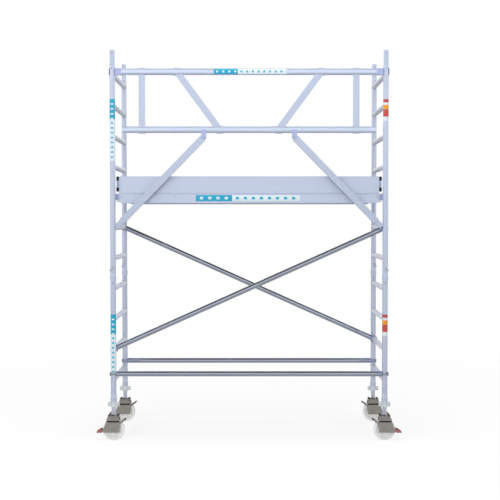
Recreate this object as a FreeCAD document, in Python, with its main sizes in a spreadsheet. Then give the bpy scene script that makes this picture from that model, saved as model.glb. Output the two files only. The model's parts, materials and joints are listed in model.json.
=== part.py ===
"""Mobile tower scaffold, 2.5 m bay: end frames, braces, guardrail, platform and four castors.

Frame: X along the bay, Y across it (the guardrail side is -Y), Z up, origin on the ground at the
centre of the tower. Millimetres. Sizes live in the sheet "Sizes" and are bound by expression; the
corners of the fork's and the brake rocker's side plates are two lists beside the castor functions.
"""
import math
import os

import FreeCAD
import Part
import Sketcher

Vector = FreeCAD.Vector
doc = FreeCAD.newDocument("mobile_tower")
sheet = doc.addObject("Spreadsheet::Sheet", "Sizes")

SIZES = {
    # tower frames
    "bay": 2500, "frame_depth": 850, "post_od": 50.8, "post_bore": 46.8,
    "bell_od": 56.6, "bell_long": 42, "bell_taper": 13,
    "lower_base": 360, "lower_top": 1480, "lower_rung_one": 560, "lower_rungs": 4,
    "upper_top": 3440, "upper_rung_one": 1680, "upper_rungs": 7,
    "rung_pitch": 280, "rung_od": 48, "rung_bore": 44,
    "spigot_od": 46, "spigot_seat_od": 46.7, "spigot_bore": 40, "spigot_out": 140, "spigot_in": 150,
    "clip_up": 112, "clip_pin_od": 9, "clip_hole": 9.6, "clip_wire_od": 5, "clip_reach": 44,
    "clip_tilt": 40, "rivet_down": 25,
    # braces
    "brace_od": 48, "brace_bore": 44, "brace_plug": 43.8, "plug_in": 30, "brace_level": 615,
    "brace_set_back": 72,
    "claw_od": 66, "claw_gap": 0.2, "claw_wide": 34, "claw_drop": 24, "brace_inset": 53,
    "diagonal_low": 840, "diagonal_high": 1960, "latch_thick": 5, "latch_wide": 18,
    # guardrail
    "rail_tall": 60, "rail_deep": 42, "rail_wall": 2.5, "top_rail": 3385, "knee_rail": 2858,
    "top_rail_end": 86, "knee_rail_end": 92, "guard_post_x": 979, "guard_post_wide": 57,
    "guard_post_deep": 34, "band_wide": 62, "band_wall": 5, "strut_top_x": 660, "strut_foot_x": 270,
    "strut_wide": 60, "arm_pivot_x": 415, "arm_pivot_up": 2791, "arm_foot_x": 1165,
    "arm_foot_up": 2022, "arm_wide": 60, "arm_deep": 34, "arm_pin_od": 12, "pin_gap": 0.05,
    "end_claw_od": 62, "end_claw_lip": 8, "bracket_wall": 4, "bracket_gap": 0.6, "bracket_wide": 42,
    "bracket_drop": 16, "web_thick": 12, "web_lap": 10, "pin_head": 4, "arm_wall": 3, "arm_start": 8,
    "arm_cap": 6, "eye_od": 30, "eye_wide": 28, "eye_long": 40, "saddle_wide": 48, "saddle_deep": 30,
    "saddle_in": 30, "saddle_out": 74, "saddle_gap": 0.4,
    # platform
    "platform_rung_step": 2, "deck_top": 2276, "deck_thick": 12,
    "beam_tall": 90, "beam_deep": 38, "beam_wall": 3,
    "beam_out": 385, "beam_end": 52, "cross_tall": 34, "cross_wide": 40, "board_tall": 158,
    "board_thick": 22, "board_wall": 2.5, "cross_wall": 2.5, "cross_one": 700,
    "cross_two": 250, "mitre": 80, "mitre_drop": 92,
    "corner_clip_out": 24, "corner_clip_wide": 34, "corner_clip_tall": 38, "corner_clip_in": 15,
    "corner_clip_low": 18, "corner_clip_high": 118,
    "hatch_long": 620, "hatch_wide": 560, "hatch_x": 700, "hatch_gap": 2,
    "hook_wide": 36, "hook_wall": 7, "hook_drop": 20, "hook_arm_tall": 54,
    "hinge_od": 14, "hinge_pin": 7, "hinge_long": 50, "hinge_leaf": 40, "hinge_thick": 4,
    "hinge_out": 186,
    "hinge_clear": 0.3, "door_notch": 8, "door_leaf": 46, "latch_in": 60, "latch_od": 20,
    "latch_bore": 20.4, "latch_cap_od": 34, "latch_cap": 3, "latch_grip_long": 44,
    "latch_grip_wide": 8, "latch_grip_tall": 9, "latch_bolt_long": 92, "latch_bolt_back": 10,
    "latch_bolt_wide": 22, "latch_bolt_thick": 3, "latch_under": 2.5, "latch_over": 0.5,
    "lock_thick": 6, "lock_long": 95, "lock_wide": 26, "lock_clear": 6, "lock_pin_od": 12,
    "lock_pin_long": 16, "lock_pin_gap": 0.5,
    # castors
    "wheel_od": 200, "wheel_wide": 44, "hub_od": 62, "hub_wide": 50, "web_recess": 8,
    "rim_inner": 156, "axle_od": 20, "fork_gap": 57, "fork_plate": 5, "crown_low": 206,
    "crown_top": 212, "crown_half": 56, "crown_skirt": 185, "crown_deep": 38, "pin_od": 24,
    "head_top": 231, "head_od": 110, "spindle_od": 42, "spindle_bore": 32, "spindle_top": 800,
    "nut_od": 52, "nut_low": 309, "nut_high": 359.6, "nut_span": 108, "nut_bore_gap": 0.1,
    "wing_tall": 41, "wing_thick": 16, "flange_long": 104, "flange_deep": 84, "flange_thick": 7,
    "swivel_gap": 0.5, "bolt_od": 16, "bolt_tall": 8, "bolt_x": 40, "bolt_y": 30, "king_long": 16,
    "king_under": 2, "keeper_od": 38, "keeper_thick": 3, "keeper_under": 4.5, "shaft_in": 2,
    "shaft_floor": 6, "axle_bolt_od": 12, "axle_bolt_out": 4, "axle_head_od": 22, "axle_head_out": 7,
    "hub_chamfer": 6, "rim_step": 4, "tread_edge": 6, "tread_bevel": 1.8,
    "cheek": 2.5, "cheek_gap": 0.5, "tread_long": 44, "tread_thick": 5, "tread_at": 152,
    "tread_low": 72, "lip_od": 12, "lip_at": 151, "lip_up": 77, "stop_od": 10, "stop_at": 111,
    "stop_up": 104, "grip_od": 10, "grip_at": 109, "grip_up": 196,
}
for row, (alias, number) in enumerate(SIZES.items(), start=1):
    sheet.set(f"A{row}", alias)
    sheet.set(f"B{row}", str(number))
    sheet.setAlias(f"B{row}", alias)
doc.recompute()


class Size:
    """A number of the sheet together with the expression that gives it."""

    def __init__(self, value, text):
        self.value = value
        self.text = text

    def join(self, other, sign, value):
        return Size(value, f"({self.text} {sign} {text_of(other)})")

    def __add__(self, other):
        return self.join(other, "+", self.value + number_of(other))

    def __sub__(self, other):
        return self.join(other, "-", self.value - number_of(other))

    def __mul__(self, other):
        return self.join(other, "*", self.value * number_of(other))

    def __truediv__(self, other):
        return self.join(other, "/", self.value / number_of(other))

    def __neg__(self):
        return self * -1


def number_of(size):
    return size.value if isinstance(size, Size) else size


def text_of(size):
    return size.text if isinstance(size, Size) else f"({size})"


class Sheet:
    """Reads sheet cells by name: d.bay is the bay length."""

    def __getattr__(self, alias):
        return Size(float(sheet.get(alias)), f"Sizes.{alias}")


d = Sheet()
X_AXIS = Vector(1, 0, 0)
Y_AXIS = Vector(0, 1, 0)
Z_AXIS = Vector(0, 0, 1)
TURN = {"x": FreeCAD.Rotation(Y_AXIS, 90), "y": FreeCAD.Rotation(X_AXIS, -90), "z": FreeCAD.Rotation()}
nodes = []


def bind(item, **sizes):
    for name, size in sizes.items():
        item.setExpression(name, text_of(size))
    return item


def put(item, at=(0, 0, 0), turn=None):
    """Place an object: a rotation first, then bound coordinates."""
    if turn is not None:
        item.Placement = FreeCAD.Placement(Vector(), turn)
    for name, size in zip("xyz", at):
        item.setExpression(f"Placement.Base.{name}", text_of(size))
    return item


def rod(radius, long, at, along="z", turn=None):
    """A cylinder from the point at, running along +X, +Y or +Z."""
    item = doc.addObject("Part::Cylinder", "rod")
    bind(item, Radius=radius, Height=long)
    return put(item, at, turn or TURN[along])


def block(long, deep, tall, at, turn=None):
    """A box with at as its low corner."""
    item = doc.addObject("Part::Box", "block")
    bind(item, Length=long, Width=deep, Height=tall)
    return put(item, at, turn)


def cone(low, high, tall, at):
    item = doc.addObject("Part::Cone", "taper")
    bind(item, Radius1=low, Radius2=high, Height=tall)
    return put(item, at)


def fuse(*shapes):
    item = doc.addObject("Part::MultiFuse", "fuse")
    item.Shapes = list(shapes)
    return item


def cut(base, *tools):
    for tool in tools:
        item = doc.addObject("Part::Cut", "cut")
        item.Base = base
        item.Tool = tool
        base = item
    return base


def gather(*shapes):
    item = doc.addObject("Part::Compound", "group")
    item.Links = list(shapes)
    return item


def node(name, *shapes, at=(0, 0, 0), turn=None):
    """One named sub-part, as a group of its separate solids, with its own placement."""
    item = gather(*shapes)
    item.Label = name
    nodes.append(put(item, at, turn))
    return item


def tube(outer, bore, long, at, along="z"):
    """A hollow round tube."""
    return cut(rod(outer / 2, long, at, along), rod(bore / 2, long, at, along))


def oval(tall, deep, long, at):
    """A flat oval bar along +X, with at the middle of its start."""
    x, y, z = at
    straight = tall - deep
    mid = block(long, deep, straight, (x, y - deep / 2, z - straight / 2))
    ends = [rod(deep / 2, long, (x, y, z + straight * half), "x") for half in (-0.5, 0.5)]
    return fuse(mid, *ends)


HALF_BAY = d.bay / 2
HALF_DEPTH = d.frame_depth / 2
SIDES = {"left": -1, "right": 1}
DEPTHS = {"near": -1, "far": 1}


# End frames: two posts and a ladder of rungs each, with spigots in the post tops.
def post(x, y, base, top):
    flare = d.bell_od / 2
    body = fuse(rod(d.post_od / 2, top - base, (x, y, base)),
                rod(flare, d.bell_long, (x, y, base)),
                cone(flare, d.post_od / 2, d.bell_taper, (x, y, base + d.bell_long)))
    body = cut(body, rod(d.post_bore / 2, top - base, (x, y, base)))
    holes = [rod(d.clip_hole / 2, d.post_od * 2, (x, y - d.post_od, base + d.clip_up), "y"),
             rod(d.clip_hole / 2, d.post_od, (x, y - d.post_od, top - d.rivet_down), "y")]
    return cut(body, *holes)


def ladder(x, first, count):
    low = -HALF_DEPTH
    rungs = gather(*[tube(d.rung_od, d.rung_bore, d.frame_depth, (x, low, first + d.rung_pitch * step), "y")
                     for step in range(count)])
    tall = d.rung_pitch * (count + 1)
    walls = [rod(d.post_od / 2, tall, (x, HALF_DEPTH * sign, first - d.rung_pitch)) for sign in (-1, 1)]
    return cut(rungs, *walls)


spigots = []
clips = []
for side, x_sign in SIDES.items():
    x = HALF_BAY * x_sign
    for frame, base, top, first, count in (
            ("lower", d.lower_base, d.lower_top, d.lower_rung_one, int(d.lower_rungs.value)),
            ("upper", d.lower_top, d.upper_top, d.upper_rung_one, int(d.upper_rungs.value))):
        node(f"{frame}_posts_{side}", *[post(x, HALF_DEPTH * sign, base, top) for sign in (-1, 1)])
        node(f"{frame}_rungs_{side}", ladder(x, first, count))
        for sign in (-1, 1):
            y = HALF_DEPTH * sign
            foot = top - d.spigot_in
            sleeve = fuse(rod(d.spigot_seat_od / 2, d.spigot_in, (x, y, foot)),
                          rod(d.spigot_od / 2, d.spigot_out, (x, y, top)))
            bore = rod(d.spigot_bore / 2, d.spigot_in + d.spigot_out, (x, y, foot))
            hole = rod(d.clip_hole / 2, d.post_od * 2, (x, y - d.post_od, top + d.clip_up), "y")
            spigots.append(cut(sleeve, bore, hole))
    for sign in (-1, 1):
        y = HALF_DEPTH * sign
        level = d.lower_top + d.clip_up
        pin = rod(d.clip_pin_od / 2, d.clip_reach * 2, (x, y - d.clip_reach, level), "y")
        wire = doc.addObject("Part::Torus", "clip_wire")
        bind(wire, Radius1=d.clip_reach, Radius2=d.clip_wire_od / 2)
        wire.Angle3 = 180
        tilt = FreeCAD.Rotation(Y_AXIS, x_sign * d.clip_tilt.value)
        put(wire, (x, y, level), tilt * FreeCAD.Rotation(Z_AXIS, -90 * x_sign))
        clips.append(fuse(pin, wire))
node("frame_spigots", *spigots)
node("frame_locking_clips", *clips)


# Braces: a claw hooks over a rung or round a post, and a latch plate closes its mouth.
def claw(bar_od, along, mouth, at):
    """A U hook round a bar along Y or Z, and what is cut from it, with its mouth on the side given."""
    x, y, z = at
    jaw = d.claw_od / 2
    bore = bar_od / 2 + d.claw_gap
    wide = d.claw_wide
    clear = d.claw_od
    if along == "y":
        low = y - wide / 2
        body = fuse(rod(jaw, wide, (x, low, z), "y"),
                    block(jaw * 2, wide, d.claw_drop, (x - jaw, low, z - d.claw_drop)))
        slot = block(bore * 2, clear, clear, (x - bore, y - clear / 2, z - clear))
        return body, [rod(bore, clear, (x, y - clear / 2, z), "y"), slot]
    low = z - wide / 2
    body = fuse(rod(jaw, wide, (x, y, low)),
                block(jaw * 2, d.claw_drop, wide, (x - jaw, y if mouth > 0 else y - d.claw_drop, low)))
    slot = block(bore * 2, clear, clear, (x - bore, y if mouth > 0 else y - clear, z - clear / 2))
    return body, [rod(bore, clear, (x, y, z - clear / 2)), slot]


def aim(start, end):
    """The rotation that turns +Z along the line from start to end, both in the XZ plane."""
    return FreeCAD.Rotation(Z_AXIS, Vector(number_of(end[0]) - number_of(start[0]), 0,
                                           number_of(end[2]) - number_of(start[2])))


def plugged_claw(parts, plug_at, turn, reach, flange):
    """A claw with the flange and plug that carry its tube."""
    body, bores = parts
    stem = rod(d.brace_plug / 2, reach, plug_at, turn=turn)
    collar = rod(d.brace_od / 2, flange, plug_at, turn=turn)
    return cut(fuse(body, stem, collar), *bores)


claws = []
latches = []
for depth, y_sign in DEPTHS.items():
    y = HALF_DEPTH * y_sign
    x0 = -HALF_BAY
    level = d.brace_level
    back = d.brace_set_back
    node(f"{depth}_horizontal_brace",
         tube(d.brace_od, d.brace_bore, d.bay - back * 2, (x0 + back, y, level), "x"))
    for x_sign in (-1, 1):
        x = HALF_BAY * x_sign
        turn = FreeCAD.Rotation(Z_AXIS, Vector(-x_sign, 0, 0))
        claws.append(plugged_claw(claw(d.post_od, "z", y_sign, (x, y, level)), (x, y, level), turn,
                                  back + d.plug_in, back))
        gate = d.post_od / 2 + d.claw_gap * 2
        low = y + gate if y_sign > 0 else y - gate - d.latch_thick
        latches.append(block(d.post_od, d.latch_thick, d.latch_wide,
                             (x - d.post_od / 2, low, level - d.latch_wide / 2)))

    lane = (HALF_DEPTH - d.brace_inset) * y_sign
    low_x = HALF_BAY * y_sign
    foot = (low_x, lane, d.diagonal_low)
    head = (-low_x, lane, d.diagonal_high)
    turn = aim(foot, head)
    rise = number_of(d.diagonal_high) - number_of(d.diagonal_low)
    span = math.hypot(number_of(d.bay), rise)
    ux = -number_of(low_x) * 2 / span
    uz = rise / span
    start = (foot[0] + back * ux, lane, foot[2] + back * uz)
    long = Size(span, "sqrt(pow(Sizes.bay; 2) + pow(Sizes.diagonal_high - Sizes.diagonal_low; 2))") - back * 2
    node(f"{depth}_diagonal_brace",
         cut(rod(d.brace_od / 2, long, start, turn=turn), rod(d.brace_bore / 2, long, start, turn=turn)))
    for end, flip in ((foot, turn), (head, aim(head, foot))):
        claws.append(plugged_claw(claw(d.rung_od, "y", -1, end), end, flip, back + d.plug_in, back))
        gate = d.rung_od / 2 + d.claw_gap * 2
        corner = (end[0] - d.rung_od / 2, lane - d.latch_wide / 2, end[2] - gate - d.latch_thick)
        latches.append(block(d.rung_od, d.latch_wide, d.latch_thick, corner))
node("brace_claws", *claws)
node("brace_claw_latches", *latches)


# Guardrail frame on the near side.
RAIL_Y = -HALF_DEPTH


def rail(level, end_gap):
    half = HALF_BAY - end_gap
    wall = d.rail_wall * 2
    start = (-half, RAIL_Y, level)
    return cut(oval(d.rail_tall, d.rail_deep, half * 2, start),
               oval(d.rail_tall - wall, d.rail_deep - wall, half * 2, start))


def rail_envelope(level):
    """The room that a rail takes, cut from what is clamped to it."""
    return oval(d.rail_tall, d.rail_deep, d.bay, (-HALF_BAY, RAIL_Y, level))


def band(x, level):
    """A saddle sleeve round a rail."""
    grow = d.band_wall * 2
    return oval(d.rail_tall + grow, d.rail_deep + grow, d.band_wide, (x - d.band_wide / 2, RAIL_Y, level))


node("guardrail_top_rail", rail(d.top_rail, d.top_rail_end))
node("guardrail_knee_rail", rail(d.knee_rail, d.knee_rail_end))
guard_posts = []
struts = []
end_claws = []
for x_sign in (-1, 1):
    x = d.guard_post_x * x_sign
    bar = block(d.guard_post_wide, d.guard_post_deep, d.top_rail - d.knee_rail,
                (x - d.guard_post_wide / 2, RAIL_Y - d.guard_post_deep / 2, d.knee_rail))
    guard_posts.append(cut(fuse(bar, band(x, d.top_rail), band(x, d.knee_rail)),
                           rail_envelope(d.top_rail), rail_envelope(d.knee_rail)))
    foot = (d.strut_foot_x * x_sign, RAIL_Y, d.knee_rail)
    head = (d.strut_top_x * x_sign, RAIL_Y, d.top_rail)
    long = math.hypot(number_of(head[0]) - number_of(foot[0]), number_of(head[2]) - number_of(foot[2]))
    turn = aim(foot, head)
    corner = turn.multVec(Vector(-number_of(d.strut_wide) / 2, -number_of(d.guard_post_deep) / 2, 0))
    bar = block(d.strut_wide, d.guard_post_deep, long,
                (foot[0] + corner.x, foot[1] + corner.y, foot[2] + corner.z), turn)
    struts.append(cut(fuse(bar, band(head[0], head[2]), band(foot[0], foot[2])),
                      rail_envelope(d.top_rail), rail_envelope(d.knee_rail)))
    x = HALF_BAY * x_sign
    level = d.top_rail
    jaw = d.end_claw_od / 2
    tall = d.rail_tall
    grip = fuse(rod(jaw, tall, (x, RAIL_Y, level - tall / 2)),
                block(jaw * 2, d.end_claw_lip, tall, (x - jaw, RAIL_Y - d.end_claw_lip, level - tall / 2)),
                block(d.top_rail_end, d.rail_deep, tall,
                      (x - d.top_rail_end if x_sign > 0 else x, RAIL_Y - d.rail_deep / 2, level - tall / 2)))
    bore = d.post_od / 2 + d.claw_gap
    mouth = block(bore * 2, jaw * 2, tall, (x - bore, RAIL_Y - jaw * 2, level - tall / 2))
    top_rung = d.upper_rung_one + d.rung_pitch * (d.upper_rungs - 1)
    rung_bore = d.rung_od / 2 + d.claw_gap
    end_claws.append(cut(grip, rod(bore, tall, (x, RAIL_Y, level - tall / 2)), mouth,
                         rod(rung_bore, jaw, (x, RAIL_Y, top_rung), "y"),
                         block(rung_bore * 2, jaw, tall, (x - rung_bore, RAIL_Y, top_rung - tall))))
node("guardrail_posts", *guard_posts)
node("guardrail_struts", *struts)
node("guardrail_end_claws", *end_claws)

brackets = []
for side, x_sign in SIDES.items():
    x = d.arm_pivot_x * x_sign
    half = d.arm_deep / 2 + d.bracket_gap
    top = d.knee_rail
    low = d.arm_pivot_up - d.bracket_drop
    cheeks = [block(d.bracket_wide, d.bracket_wall, top - low, (x - d.bracket_wide / 2, y, low))
              for y in (RAIL_Y + half, RAIL_Y - half - d.bracket_wall)]
    outside = half + d.bracket_wall
    web = block(d.bracket_wide, outside * 2, d.web_thick,
                (x - d.bracket_wide / 2, RAIL_Y - outside, top - d.rail_tall / 2 - d.web_lap))
    pin = rod(d.arm_pin_od / 2, (outside + d.pin_head) * 2,
              (x, RAIL_Y - outside - d.pin_head, d.arm_pivot_up), "y")
    brackets.append(fuse(cut(fuse(*cheeks, web), rail_envelope(d.knee_rail)), pin))
    pivot = (x, RAIL_Y, d.arm_pivot_up)
    foot = (d.arm_foot_x * x_sign, RAIL_Y, d.arm_foot_up)
    long = Size(math.hypot(number_of(foot[0]) - number_of(x), number_of(foot[2]) - number_of(pivot[2])),
                "sqrt(pow(Sizes.arm_foot_x - Sizes.arm_pivot_x; 2)"
                " + pow(Sizes.arm_foot_up - Sizes.arm_pivot_up; 2))")
    turn = aim(pivot, foot)

    def slab(wide, deep, start, end):
        """A bar along the arm's line, between two distances from the pivot."""
        corner = turn.multVec(Vector(-number_of(wide) / 2, -number_of(deep) / 2, number_of(start)))
        return block(wide, deep, end - start,
                     (pivot[0] + corner.x, pivot[1] + corner.y, pivot[2] + corner.z), turn)

    wall = d.arm_wall * 2
    shell = slab(d.arm_wide, d.arm_deep, d.arm_start, long)
    hollow = slab(d.arm_wide - wall, d.arm_deep - wall, d.arm_start + d.arm_cap, long)
    eye = fuse(rod(d.eye_od / 2, d.arm_deep, (x, RAIL_Y - d.arm_deep / 2, d.arm_pivot_up), "y"),
               slab(d.eye_wide, d.arm_deep, 0, d.eye_long))
    pin_hole = rod(d.arm_pin_od / 2 + d.pin_gap, d.arm_deep * 2,
                   (x, RAIL_Y - d.arm_deep, d.arm_pivot_up), "y")
    post_x = HALF_BAY * x_sign
    low = d.arm_foot_up - d.claw_od * 3
    beyond = post_x if x_sign > 0 else post_x - d.claw_od * 2
    saddle = slab(d.saddle_wide, d.saddle_deep, long - d.saddle_in, long + d.saddle_out)
    saddle = cut(saddle, rod(d.post_od / 2 + d.saddle_gap, d.claw_od * 6, (post_x, RAIL_Y, low)),
                 block(d.claw_od * 2, d.claw_od, d.claw_od * 6, (beyond, RAIL_Y - d.claw_od / 2, low)))
    node(f"guardrail_arm_{side}", cut(fuse(cut(shell, hollow), eye, saddle), pin_hole))
node("guardrail_hinge_brackets", *brackets)


# Platform: side and cross beams, plywood deck with a hatch, hooks, trapdoor and toe boards.
beam_half = HALF_BAY - d.beam_end
beam_low = d.deck_top - d.beam_tall
side_beams = []
for y_sign in (-1, 1):
    y = d.beam_out if y_sign > 0 else -d.beam_out + d.beam_deep
    wall = d.beam_wall
    outer = block(beam_half * 2, d.beam_deep, d.beam_tall, (-beam_half, y - d.beam_deep, beam_low))
    inner = block(beam_half * 2, d.beam_deep - wall * 2, d.beam_tall - wall * 2,
                  (-beam_half, y - d.beam_deep + wall, beam_low + wall))
    beam = cut(outer, inner)
    for x_sign in (-1, 1):
        wedge = block(d.mitre, d.beam_deep * 2, d.mitre,
                      (beam_half * x_sign, y - d.beam_deep * 1.5, beam_low - d.mitre_drop),
                      FreeCAD.Rotation(Y_AXIS, -45))
        beam = cut(beam, wedge)
    side_beams.append(beam)
node("platform_side_beams", *side_beams)

inner_y = d.beam_out - d.beam_deep
cross_top = d.deck_top - d.deck_thick
cross_low = cross_top - d.cross_tall
hatch_low_x = d.hatch_x - d.hatch_long / 2
hatch_high_x = d.hatch_x + d.hatch_long / 2
cross_starts = [-beam_half, -d.cross_one, -d.cross_two, hatch_low_x - d.cross_wide, hatch_high_x,
                beam_half - d.cross_wide]
node("platform_cross_beams", *[
    cut(block(d.cross_wide, inner_y * 2, d.cross_tall, (x, -inner_y, cross_low)),
        block(d.cross_wide - d.cross_wall * 2, inner_y * 2, d.cross_tall - d.cross_wall * 2,
              (x + d.cross_wall, -inner_y, cross_low + d.cross_wall)))
    for x in cross_starts])
deck_half = beam_half - d.board_thick
deck = block(deck_half * 2, inner_y * 2, d.deck_thick, (-deck_half, -inner_y, cross_top))
hatch = block(d.hatch_long, d.hatch_wide, d.deck_thick * 3,
              (hatch_low_x, -d.hatch_wide / 2, cross_top - d.deck_thick))
hinge_y = d.hatch_wide / 2
hinge_starts = [d.hatch_x + d.hinge_out * step - d.hinge_long for step in (-1, 1)]
pockets = [block(d.hinge_long * 2, d.hinge_leaf, d.hinge_thick, (start, hinge_y, d.deck_top - d.hinge_thick))
           for start in hinge_starts]
node("platform_deck", cut(deck, hatch, *pockets))

# Hooks over the third rung of the upper frames, and wind locks that turn in under it.
platform_rung = d.upper_rung_one + d.rung_pitch * d.platform_rung_step
hooks = []
for x_sign in (-1, 1):
    x = HALF_BAY * x_sign
    for y_sign in (-1, 1):
        y = (d.beam_out - d.beam_deep / 2) * y_sign - d.hook_wide / 2
        outer = d.rung_od / 2 + d.hook_wall
        ring = fuse(rod(outer, d.hook_wide, (x, y, platform_rung), "y"),
                    block(outer * 2, d.hook_wide, d.hook_drop, (x - outer, y, platform_rung - d.hook_drop)))
        reach = block(d.beam_end, d.hook_wide, d.hook_arm_tall,
                      (x - d.beam_end if x_sign > 0 else x, y, platform_rung - d.hook_drop))
        bore = d.rung_od / 2 + d.claw_gap
        mouth = block(bore * 2, d.hook_wide, outer * 2, (x - bore, y, platform_rung - outer * 2))
        hooks.append(cut(fuse(ring, reach), rod(bore, d.hook_wide, (x, y, platform_rung), "y"), mouth))
node("platform_hooks", *hooks)

lock_top = platform_rung - d.rung_od / 2 - d.lock_clear
for side, x_sign in SIDES.items():
    pivot_x = (beam_half - d.cross_wide / 2) * x_sign
    pivot = (pivot_x, 0, lock_top - d.lock_thick)
    bar_low = pivot_x if x_sign > 0 else pivot_x - d.lock_long
    blade = fuse(block(d.lock_long, d.lock_wide, d.lock_thick, (bar_low, -d.lock_wide / 2, pivot[2])),
                 rod(d.lock_wide / 2, d.lock_thick, pivot),
                 rod(d.lock_pin_od / 2, d.lock_pin_long,
                     (pivot_x, 0, cross_low - d.lock_pin_long - d.lock_pin_gap)))
    node(f"wind_lock_{side}", blade)

# Trapdoor, hinged on the far edge of the hatch.
gap = d.hatch_gap
pin_z = d.deck_top + d.hinge_od / 2 - d.hinge_thick + d.hinge_clear
latch_y = -hinge_y + d.latch_in
door = block(d.hatch_long - gap * 2, d.hatch_wide - gap * 2, d.deck_thick,
             (hatch_low_x + gap, -d.hatch_wide / 2 + gap, cross_top))
door = cut(door, rod(d.latch_bore / 2, d.deck_thick * 3, (d.hatch_x, latch_y, cross_top - d.deck_thick)))
frame_hinges = []
door_knuckles = []
for start in hinge_starts:
    pin = rod(d.hinge_pin / 2, d.hinge_long * 2, (start, hinge_y, pin_z), "x")
    ends = [start, start + d.hinge_long * 1.5 + d.hinge_clear]
    short = d.hinge_long / 2 - d.hinge_clear
    leaves = [block(short, d.hinge_leaf, d.hinge_thick, (end, hinge_y, d.deck_top - d.hinge_thick))
              for end in ends]
    barrels = [rod(d.hinge_od / 2, short, (end, hinge_y, pin_z), "x") for end in ends]
    frame_hinges.append(fuse(pin, *leaves, *barrels))
    notch_at = (start - d.hinge_clear, hinge_y - d.door_notch, d.deck_top - d.hinge_thick)
    door = cut(door, block((d.hinge_long + d.hinge_clear) * 2, d.door_notch, d.hinge_thick, notch_at))
    middle = start + d.hinge_long / 2
    leaf = block(d.hinge_long, d.door_leaf, d.hinge_thick, (middle, hinge_y - d.door_leaf, d.deck_top))
    knuckle = fuse(rod(d.hinge_od / 2, d.hinge_long, (middle, hinge_y, pin_z), "x"), leaf)
    door_knuckles.append(cut(knuckle, rod(d.hinge_pin / 2 + d.pin_gap, d.hinge_long * 2,
                                          (start, hinge_y, pin_z), "x")))
node("trapdoor", fuse(door, *door_knuckles))
node("trapdoor_hinges", *frame_hinges)
node("trapdoor_latch", fuse(
    rod(d.latch_od / 2, d.deck_thick + d.latch_under + d.latch_cap,
        (d.hatch_x, latch_y, cross_top - d.latch_under)),
    rod(d.latch_cap_od / 2, d.latch_cap, (d.hatch_x, latch_y, d.deck_top + d.latch_over)),
    block(d.latch_grip_long, d.latch_grip_wide, d.latch_grip_tall,
          (d.hatch_x - d.latch_grip_long / 2, latch_y - d.latch_grip_wide / 2, d.deck_top + d.latch_cap)),
    block(d.latch_bolt_long, d.latch_bolt_wide, d.latch_bolt_thick,
          (d.hatch_x - d.latch_bolt_back, latch_y - d.latch_bolt_wide / 2,
           cross_top - d.latch_under - d.latch_bolt_thick + d.latch_over))))


# Toe boards stand on the deck edges as extrusions open below, with black clips at the corners.
def toe_board(long, deep, x, y):
    wall = d.board_wall
    inner = block(long - wall * 2, deep - wall * 2, d.board_tall,
                  (x + wall, y + wall, d.deck_top - wall))
    return cut(block(long, deep, d.board_tall, (x, y, d.deck_top)), inner)


thick = d.board_thick
node("long_toe_boards", *[
    toe_board(beam_half * 2 - thick * 2, thick, -beam_half + thick,
              -d.beam_out if sign < 0 else d.beam_out - thick)
    for sign in (-1, 1)])
end_boards = []
for x in (-beam_half, beam_half - thick):
    foot = block(thick, inner_y * 2, d.deck_thick, (x, -inner_y, cross_top))
    end_boards.append(fuse(toe_board(thick, d.beam_out * 2, x, -d.beam_out), foot))
node("end_toe_boards", *end_boards)
board_clips = []
for x_sign in (-1, 1):
    x = -beam_half - d.corner_clip_out if x_sign < 0 else beam_half
    for y_sign in (-1, 1):
        y = (d.beam_out - d.corner_clip_in) * y_sign - d.corner_clip_wide / 2
        for low in (d.corner_clip_low, d.corner_clip_high):
            board_clips.append(block(d.corner_clip_out, d.corner_clip_wide, d.corner_clip_tall,
                                     (x, y, d.deck_top + low)))
node("toe_board_clips", *board_clips)


# Castors: modelled about the spindle's axis with the brake pedal on -X, then placed under each post.
def outline_body(name, role, points):
    """A body with a closed sketch on one origin plane, each corner bound to its two coordinates."""
    body = doc.addObject("PartDesign::Body", f"{name}_body")
    sketch = body.newObject("Sketcher::SketchObject", f"{name}_outline")
    plane = next(item for item in body.Origin.OriginFeatures if item.Role == role)
    sketch.AttachmentSupport = [(plane, "")]
    sketch.MapMode = "FlatFace"
    corners = [Vector(number_of(across), number_of(up), 0) for across, up in points]
    count = len(corners)
    for index, corner in enumerate(corners):
        sketch.addGeometry(Part.LineSegment(corner, corners[(index + 1) % count]), False)
    for index in range(count):
        sketch.addConstraint(Sketcher.Constraint("Coincident", index, 2, (index + 1) % count, 1))
    for index, point in enumerate(points):
        for kind, size in zip(("DistanceX", "DistanceY"), point):
            rule = sketch.addConstraint(Sketcher.Constraint(kind, -1, 1, index, 1, number_of(size)))
            sketch.setExpression(f"Constraints[{rule}]", text_of(size))
    return body, sketch


def plate(points, low_y, thick):
    """A plate in the XZ plane, from low_y along +Y."""
    body, sketch = outline_body("plate", "XZ_Plane", points)
    pad = body.newObject("PartDesign::Pad", "plate_pad")
    pad.Profile = sketch
    pad.setExpression("Length", text_of(thick))
    pad.Reversed = True
    return put(body, (0, low_y, 0))


def turned(points):
    """A solid of revolution about Y from a closed outline of (radius, y) points."""
    body, sketch = outline_body("turned", "XY_Plane", points)
    turn = body.newObject("PartDesign::Revolution", "turned_revolution")
    turn.Profile = sketch
    turn.ReferenceAxis = (sketch, ["V_Axis"])
    turn.Angle = 360
    return body


AXLE_Z = d.wheel_od / 2
INNER = d.fork_gap / 2
FORK_OUTLINE = [(-60, d.crown_low), (-98, 75), (50, 75), (60, 178), (56, d.crown_low)]
ROCKER_OUTLINE = [(-100, 112), (-122, 108), (-157, 84), (-152, 70), (-104, 82), (-14, 84), (-14, 88),
                  (12, 88), (14, 112), (20, 122), (90, 172), (117, 196), (110, 204), (74, 182),
                  (-6, 124), (-20, 114)]


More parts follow.
